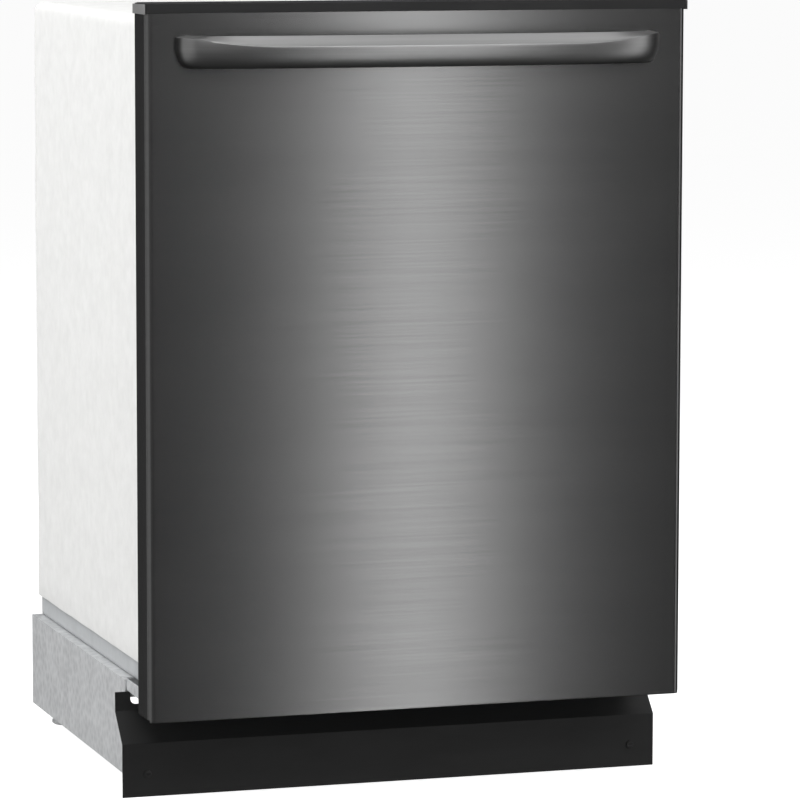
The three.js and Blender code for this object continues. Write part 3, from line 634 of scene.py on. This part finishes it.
def make_leg(end, side):
    """A threaded stud in a round foot with spanner flats."""
    node = f"leveling_leg_{end}_{side}"
    lo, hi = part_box(node)
    foot, rise = (hi.x - lo.x) / 2, hi.z - lo.z
    stud, pitch, thread, across_flats = 0.005, 0.0016, 0.0007, 0.0184
    profile = [(0, 0.0002), (foot - 0.002, 0), (foot, 0.0014), (foot, 0.0042), (foot - 0.0016, 0.006)]
    profile += [(foot - 0.006, 0.0082), (0.0085, 0.0095), (0.0085, 0.0135), (stud, 0.0142)]
    z = 0.016
    while z < rise - 0.003:
        profile += [(stud, z), (stud, z + pitch * 0.15)]
        profile += [(stud - thread, z + pitch * 0.5), (stud, z + pitch * 0.85)]
        z += pitch
    profile += [(stud, rise - 0.0012), (stud - 0.001, rise), (0, rise)]
    bm = bmesh.new()
    centre = ((lo.x + hi.x) / 2, (lo.y + hi.y) / 2, lo.z)
    turn(bm, profile, centre, sides=36)
    nut = circle(across_flats / 2 / math.cos(math.pi / 6), 6)
    prism(bm, [(centre[0] + u, centre[1] + v) for u, v in nut], "z", lo.z + 0.0095, lo.z + 0.0132)
    piece(f"screw_leg_{end}_{side}", bm, ZINC, node, [node])


# ---- Racks.
WIRE = 0.0018  # radius


def basket(bm, x, front, back, base, rim, counts, bands):
    """A basket of round wire: hoops across and along, bands round the walls and a thick rim."""
    bend, corner, in_from_ends, in_from_sides = 0.014, 0.03, 0.015, 0.0238
    for y in spaced(front + in_from_ends, back - in_from_ends, counts[0]):
        sweep(bm, bent([(-x, y, rim), (-x, y, base), (x, y, base), (x, y, rim)], bend), WIRE)
    low = base - 0.0014
    for a in spaced(-x + in_from_sides, x - in_from_sides, counts[1]):
        hoop = [(a, front, rim), (a, front, low), (a, back, low), (a, back, rim)]
        sweep(bm, bent(hoop, bend), WIRE * 0.8)
    for z in (*bands, rim):
        r = WIRE * 1.25 if z == rim else WIRE
        loop = [(a, b, z) for a, b in rounded_rect(-x - r, x + r, front - r, back + r, corner, 6)]
        sweep(bm, loop, r, closed=True)


def tines(bm, x, ys, base, height):
    """A row of upright wires with round tips."""
    tip = [(WIRE, 0), (WIRE * 0.8, WIRE * 0.6), (WIRE * 0.3, WIRE * 0.95), (0, WIRE)]
    for y in ys:
        top = (x, y, base + height - 0.002)
        sweep(bm, [(x, y, base), top], WIRE)
        turn(bm, tip, top, sides=8)


def fixed_tines(bm, x, front, back, count, base, height):
    """Tines that stand on a wire along the rack."""
    tines(bm, x, spaced(front + 0.03, back - 0.03, count), base, height)
    rail = base + 0.0032
    sweep(bm, [(x, front + 0.01, rail), (x, back - 0.01, rail)], WIRE)


def make_lower_rack():
    """Wires, and the plates and axles that carry the wheels."""
    lo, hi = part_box("lower_rack")
    x, front, back = 0.238, lo.y + 0.002, hi.y - 0.002
    base, rim = 0.168, hi.z - 0.0024
    bm = bmesh.new()
    basket(bm, x - 0.0002, front + 0.003, back - 0.003, base, rim, (19, 15), (0.212, 0.262))
    fixed_tines(bm, -0.119, front, back, 15, base, 0.095)
    piece("lower_rack_wires", bm, NYLON, "lower_rack", ["lower_rack"], smooth=60)
    axle = [(0, x), (0.0062, x), (0.0062, x + 0.006), (0.0029, x + 0.0066), (0.0029, hi.x - 0.0024)]
    axle += [(0.0046, hi.x - 0.002), (0.0046, hi.x - 0.0006), (0.004, hi.x), (0, hi.x)]
    hubs = bmesh.new()
    for c in (centre_of("rack_wheel_front_right"), centre_of("rack_wheel_rear_right")):
        for sign in (1, -1):
            plate = [(c.y - 0.012, base + 0.016), (c.y - 0.008, c.z - 0.004), (c.y - 0.004, c.z - 0.0068)]
            plate = [*plate, *[(2 * c.y - a, b) for a, b in reversed(plate)]]
            prism(hubs, plate, "x", sign * (x - 0.0032), sign * (x + 0.0038))
            turn(hubs, [(r, h * sign) for r, h in axle], (0, c.y, c.z), "x", 20)
    piece("lower_rack_axles", hubs, PART_GREY, "lower_rack")


def make_wheel(end, side):
    """A roller with a rounded tread, a thin web, spokes and a hub."""
    node = f"rack_wheel_{end}_{side}"
    lo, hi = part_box(node)
    c, r, half, bore = centre_of(node), (hi.z - lo.z) / 2, (hi.x - lo.x) / 2, 0.0034
    rim, web, deep = r - 0.0038, 0.0008, half - 0.0014
    bm = bmesh.new()
    tread = [(rim, -half), (r - 0.0008, -half), (r, -half + 0.001), (r, half - 0.001), (r - 0.0008, half)]
    ringed(bm, [*tread, (rim, half)], c, "x")
    hub = [(bore, -half), (0.0062, -half), (0.0066, -half + 0.0006), (0.0066, half - 0.0006)]
    ringed(bm, [*hub, (0.0062, half), (bore, half)], c, "x")
    ringed(bm, [(0.006, -web), (rim, -web), (rim, web), (0.006, web)], c, "x")
    spoke = [(-web, -deep), (web, -deep), (web, deep), (-web, deep)]
    for out in spokes("x", 6)[1]:
        sweep(bm, [c + out * 0.006, c + out * rim], spoke, up=(1, 0, 0))
    piece(f"roller_{end}_{side}", bm, PART_GREY, node, [node])


def make_folding_tines():
    """A row of tines on the rod that it folds about."""
    lo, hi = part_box("folding_tines")
    rod, end = 0.0023, 0.014
    x, z = -0.0595, lo.z + 0.0024
    bm = bmesh.new()
    sweep(bm, [(x, lo.y, z), (x, hi.y, z)], circle(rod, 12))
    tines(bm, x, spaced(lo.y + end, hi.y - end, 14), z, hi.z - z)
    piece("tine_row", bm, NYLON, "folding_tines", ["folding_tines"], smooth=60)


def open_panel(bm, origin, u, v, size, cells, bar):
    """A flat panel with a grid of square holes, as a single skin."""
    origin, u, v = Vector(origin), Vector(u), Vector(v)

    def stops(length, count):
        gap = (length - bar * (count + 1)) / count
        at = [0.0]
        for _ in range(count):
            at += [at[-1] + bar, at[-1] + bar + gap]
        return [*at, length]

    us, vs = stops(size[0], cells[0]), stops(size[1], cells[1])
    grid = [[bm.verts.new(origin + u * a + v * b) for b in vs] for a in us]
    for i in range(len(us) - 1):
        for j in range(len(vs) - 1):
            if i % 2 and j % 2:
                continue
            bm.faces.new((grid[i][j], grid[i + 1][j], grid[i + 1][j + 1], grid[i][j + 1]))


def make_silverware_basket():
    """A moulded basket with eight cells: barred walls, a barred floor, a thick rim and an arched grip."""
    lo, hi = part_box("silverware_basket")
    top, wall, bar = lo.z + 0.1217, 0.0022, 0.0026
    x0, x1, y0, y1 = lo.x + wall / 2, hi.x - wall / 2, lo.y + wall / 2, hi.y - wall / 2
    wide, long, high, z = x1 - x0, y1 - y0, top - lo.z - 0.004, lo.z + 0.002
    over_x, over_y, over_z = 8, 28, 5  # square holes each way
    bm = bmesh.new()
    for x in spaced(x0, x1, 3):
        open_panel(bm, (x, y0, z), (0, 1, 0), (0, 0, 1), (long, high), (over_y, over_z), bar)
    for y in spaced(y0, y1, 5):
        open_panel(bm, (x0, y, z), (1, 0, 0), (0, 0, 1), (wide, high), (over_x, over_z), bar)
    open_panel(bm, (x0, y0, z), (1, 0, 0), (0, 1, 0), (wide, long), (over_x, over_y), bar)
    walls = piece("basket_walls", bm, PART_GREY, "silverware_basket", ["silverware_basket"])
    thicken(walls, wall, 0)
    trim = bmesh.new()
    inset, reach, bend = 0.0018, 0.046, 0.016
    outline = rounded_rect(lo.x + inset, hi.x - inset, lo.y + inset, hi.y - inset, 0.006)
    half = [(0.0017, -0.003), (0.0017, 0.0016), (0.0008, 0.0024)]
    rim = [*half, *[(-u, v) for u, v in reversed(half)]]
    sweep(trim, [(a, b, top) for a, b in outline], rim, True, (0, 0, 1))
    x, y, _ = centre_of("silverware_basket")
    grip = [(x, y - reach, top - 0.01), (x, y - reach, hi.z - 0.004)]
    grip += [(x, 2 * y - b, c) for _, b, c in reversed(grip)]
    oval = [(0.0055 * a, 0.0036 * b) for a, b in circle(1, 12)]
    sweep(trim, bent(grip, bend, 6), oval, up=(1, 0, 0))
    piece("basket_rim", trim, PART_GREY, "silverware_basket")


def make_upper_rack():
    """Wires, and the strap and rollers that run in the rails on each side."""
    lo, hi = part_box("upper_rack")
    x, front, back = 0.234, lo.y + 0.002, hi.y - 0.002
    base, rim = 0.500, hi.z - 0.0024
    bm = bmesh.new()
    basket(bm, x - 0.0002, front + 0.003, back - 0.003, base, rim, (17, 15), (0.535, 0.566))
    fixed_tines(bm, 0.0585, front, back, 13, base, 0.06)
    piece("upper_rack_wires", bm, NYLON, "upper_rack", ["upper_rack"], smooth=60)
    sides = bmesh.new()
    z, rollers, past, half = 0.525, (lo.y + 0.237, lo.y + 0.387), 0.014, 0.007
    strap = rounded_rect(rollers[0] - past, rollers[1] + past, z - half, z + half, 0.005)
    end = hi.x
    roller = [(0, x - 0.003), (0.0052, x - 0.003), (0.0052, x + 0.006), (0.003, x + 0.007)]
    roller += [(0.003, end - 0.008), (0.0108, end - 0.008), (0.0115, end - 0.007), (0.0115, end - 0.0012)]
    roller += [(0.0106, end - 0.0002), (0.005, end - 0.0002), (0.0045, end - 0.0012), (0, end - 0.0012)]
    for sign in (1, -1):
        prism(sides, strap, "x", sign * (x + 0.0022), sign * (x + 0.0042))
        for y in rollers:
            turn(sides, [(r, h * sign) for r, h in roller], (0, y, z), "x", 28)
    piece("upper_rack_rollers", sides, PART_GREY, "upper_rack")


def make_cup_shelf():
    """A wire flap on the rod that it folds about."""
    lo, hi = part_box("cup_shelf")
    rod, rim, wire, in_from_ends = 0.0028, 0.002, 0.0017, 0.02
    x, far, z = lo.x + 0.003, hi.x - 0.002, (lo.z + hi.z) / 2
    near_y, far_y = lo.y + in_from_ends, hi.y - in_from_ends
    bm = bmesh.new()
    sweep(bm, [(x, lo.y, z), (x, hi.y, z)], circle(rod, 12))
    sweep(bm, bent([(x, near_y, z), (far, near_y, z), (far, far_y, z), (x, far_y, z)], 0.02, 6), rim)
    for y in spaced(near_y + 0.018, far_y - 0.018, 13):
        sweep(bm, [(x, y, z), (far, y, z)], wire)
    for a in spaced(x, far, 4)[1:-1]:
        sweep(bm, [(a, near_y, z - 0.001), (a, far_y, z - 0.001)], wire)
    piece("cup_flap", bm, NYLON, "cup_shelf", ["cup_shelf"], smooth=60)


SPRAY_ARMS = {"lower": (0.001, 0.010, 0.0078), "upper": (0.002, 0.009, 0.0068)}  # blade's rise, depth, bore


def make_spray_arm(which):
    """A hollow blade on a round hub, with a raised spine and a row of jets."""
    node = f"{which}_spray_arm"
    rise, thick, bore = SPRAY_ARMS[which]
    lo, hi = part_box(node)
    c, reach, low = centre_of(node), (hi.y - lo.y) / 2, lo.z + rise
    tip = 0.9  # where the blade starts to round off, as a share of its reach

    def blade(share):
        """Half width and depth of the blade at a share of its reach."""
        wide, tall = 0.024 - 0.009 * min(share, tip), thick * (1 - 0.25 * min(share, tip))
        past = max(0.0, (share - tip) / (1 - tip))
        return wide * math.sqrt(max(0.01, 1 - past**2)), tall * math.sqrt(max(0.12, 1 - past**2))

    def ring(share, sign):
        wide, tall = blade(share)
        points = []
        for x, z in circle(1.0, 24):
            u, v = math.copysign(abs(x) ** 0.6, x), math.copysign(abs(z) ** 0.75, z)
            spine = 0.0012 if v > 0.95 else 0
            points.append((c.x + u * wide, c.y + sign * share * reach, low + tall * (0.5 + 0.5 * v) + spine))
        return points

    bm = bmesh.new()
    for sign in (1, -1):
        skin(bm, [ring(share, sign) for share in (0.075, 0.1, 0.2, 0.35, 0.55, 0.75, tip, 0.95, 0.985, 1.0)])
    tall = hi.z - lo.z
    profile = [(bore, 0), (0.0165, 0), (0.0185, 0.0016), (0.0195, 0.004), (0.0195, tall - 0.004)]
    profile += [(0.0175, tall - 0.0015), (0.0125, tall), (bore, tall)]
    ringed(bm, profile, (c.x, c.y, lo.z), "z", 40)
    piece(f"{which}_blade", bm, PART_GREY, node, [node])
    jets = bmesh.new()
    for sign in (1, -1):
        for k, share in enumerate((0.3, 0.46, 0.62, 0.78, 0.88)):
            x, y = c.x + (0.006 if k % 2 else -0.006), c.y + sign * share * reach
            slot = rounded_rect(x - 0.0045, x + 0.0045, y - 0.0014, y + 0.0014, 0.0013)
            top = low + blade(share)[1]
            skin(jets, [[(a, b, top + h) for a, b in slot] for h in (-0.002, 0.0016)])
    piece(f"{which}_jets", jets, PART_DARK, node)


make_door_panel()
make_handle()
make_gasket()
make_blanket()
make_tub_coves()
make_heater()
make_float()
for side in ("right", "left"):
    make_spring(side)
for end in ("front", "rear"):
    for side in ("right", "left"):
        make_leg(end, side)
        make_wheel(end, side)
make_lower_rack()
make_folding_tines()
make_silverware_basket()
make_upper_rack()
make_cup_shelf()
make_spray_arm("lower")
make_spray_arm("upper")

# ---- CAD nodes whose shape is right keep it and get their material.
FINISHES = {
    CONSOLE_BLACK: ["console"],
    CAP_GREY: ["console_end_cap_left"],
    KEY_BLACK: ["key_1", "key_2", "key_3", "key_4", "rinse_aid_cap", "console_end_cap_right"],
    KICK_BLACK: ["kick_plate"],
    SCREW_BLACK: ["kick_screw_left", "kick_screw_right"],
    LINER_GREY: ["door_liner"],
    TUB_GREY: ["tub"],
    PART_GREY: [
        "dispenser_lid", "spray_feed_tube", "rail_carrier_left", "rail_carrier_right", "upper_feed_pipe",
    ],
    PART_DARK: ["detergent_dispenser", "latch_pawl", "sump", "filter_cup", "wash_pump", "drain_pump"],
    PART_PALE: ["inlet_valve"],
    ZINC: [
        "hinge_arm_left", "hinge_arm_right", "mounting_bracket_left", "mounting_bracket_right", "base_frame",
        "hinge_bracket_left", "hinge_bracket_right", "spring_rod_left", "spring_rod_right",
    ],
    BRIGHT: ["latch_strike", "upper_rail_left", "upper_rail_right"],
}
for finish, names in FINISHES.items():
    for name in names:
        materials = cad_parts[name].data.materials
        materials.clear()
        materials.append(finish.material)


# ---- Stage: floor, light and camera.
def make_floor():
    """A pale floor that glows for the camera only, so that it's nearly white round the contact shadow."""
    half, pale, glow_for_camera, under = 30, 0.55, 0.93, 0.0005
    bm = bmesh.new()
    bmesh.ops.create_grid(bm, x_segments=1, y_segments=1, size=half)
    mesh = bpy.data.meshes.new("floor")
    bm.to_mesh(mesh)
    bm.free()
    floor = bpy.data.objects.new("floor", mesh)
    floor.location.z = CAD_BOX[0].z - under
    bpy.context.scene.collection.objects.link(floor)
    material = bpy.data.materials.new("floor_white")
    material.use_nodes = True
    tree = material.node_tree
    bsdf = tree.nodes["Principled BSDF"]
    bsdf.inputs["Base Color"].default_value = (pale, pale, pale, 1)
    bsdf.inputs["Roughness"].default_value = 1
    bsdf.inputs["Specular IOR Level"].default_value = 0
    bsdf.inputs["Emission Color"].default_value = (1, 1, 1, 1)
    seen = tree.nodes.new("ShaderNodeLightPath")
    glow = tree.nodes.new("ShaderNodeMath")
    glow.operation = "MULTIPLY"
    glow.inputs[1].default_value = glow_for_camera
    tree.links.new(seen.outputs["Is Camera Ray"], glow.inputs[0])
    tree.links.new(glow.outputs[0], bsdf.inputs["Emission Strength"])
    mesh.materials.append(material)
    # The strip light reaches below the floor: the door's foot mirrors it and the floor doesn't shade it.
    floor.visible_glossy = floor.visible_shadow = False


def make_world():
    """White to the camera, dim to everything else, so that the lights shape the metal."""
    world = bpy.data.worlds.new("studio")
    bpy.context.scene.world = world
    world.use_nodes = True
    tree = world.node_tree
    background = tree.nodes["Background"]
    background.inputs["Color"].default_value = (1, 1, 1, 1)
    seen = tree.nodes.new("ShaderNodeLightPath")
    level = tree.nodes.new("ShaderNodeMapRange")
    to_the_rest, to_camera = 0.06, 1.0
    level.inputs["To Min"].default_value = to_the_rest
    level.inputs["To Max"].default_value = to_camera
    tree.links.new(seen.outputs["Is Camera Ray"], level.inputs["Value"])
    tree.links.new(level.outputs["Result"], background.inputs["Strength"])


def area_light(name, place, aim, width, height, watts):
    data = bpy.data.lights.new(name, "AREA")
    data.shape, data.size, data.size_y, data.energy = "RECTANGLE", width, height, watts
    light = bpy.data.objects.new(name, data)
    light.location = place
    light.rotation_mode = "QUATERNION"
    light.rotation_quaternion = (Vector(aim) - Vector(place)).to_track_quat("-Z", "Y")
    bpy.context.scene.collection.objects.link(light)
    light.visible_camera = False
    return light


def make_lights():
    """Soft boxes. The narrow one is mirrored in the door's brushed face; the others shape its edges and the
    handle. The high left box is for gloss only, and the fills are for pale, dull parts only."""
    door = Vector((0, FACE, 0.45))
    above = door + Vector((0, 0, 0.3))

    def box(name, azimuth, width, height, watts, distance=2.4, elevation=0, aim=door):
        """A soft box round the door, its angles in degrees."""
        place = door + polar(math.radians(azimuth), math.radians(elevation)) * distance
        return area_light(name, place, aim, width, height, watts)

    box("strip_front", -math.degrees(CAMERA_AZIMUTH), 0.2, 3.2, 12, distance=2.2)
    box("box_right", 60, 0.75, 2.4, 8.5)
    box("box_left", -85, 3.0, 2.4, 12)
    box("box_left_front", -30, 1.5, 2.4, 1.7)
    gloss = box("box_left_high", -60, 1.6, 1.2, 24, distance=2.6, elevation=50, aim=above)
    gloss.visible_diffuse = False
    box("box_left_rear", -135, 0.7, 2.4, 3.5)
    area_light("overhead", (0.25, FACE - 0.15, 2.6), (0.25, FACE - 0.05, 0.8), 4.0, 1.3, 24)
    box("box_front_high", 0, 4.2, 1.1, 40, distance=2.6, elevation=40, aim=above)
    area_light("box_back", (0.4, 2.0, 3.6), (0, 0, 0.5), 3.0, 1.6, 22)
    fills = (
        area_light("fill_left", (-2.8, 0.6, 2.6), (-0.3, 0.1, 0.4), 2.4, 2.4, 92),
        area_light("fill_front", (0.3, -3.2, 1.3), (0, 0, 0.5), 2.4, 2.0, 22),
    )
    for fill in fills:
        fill.visible_glossy = False


def make_camera():
    """A long lens in front of the door, to its left, a little above its middle."""
    data = bpy.data.cameras.new("camera")
    data.lens, data.sensor_width, data.sensor_fit = LENS, SENSOR, "HORIZONTAL"
    data.clip_end = 200
    camera = bpy.data.objects.new("camera", data)
    back = polar(CAMERA_AZIMUTH, CAMERA_ELEVATION)
    camera.location = CAMERA_TARGET + back * CAMERA_DISTANCE
    camera.rotation_mode = "QUATERNION"
    turned = (-back).to_track_quat("-Z", "Y").to_matrix() @ Matrix.Rotation(CAMERA_ROLL, 3, "Z")
    camera.rotation_quaternion = turned.to_quaternion()
    bpy.context.scene.collection.objects.link(camera)
    bpy.context.scene.camera = camera


make_floor()
make_world()
make_lights()
make_camera()
bpy.context.scene.view_settings.view_transform = "Standard"
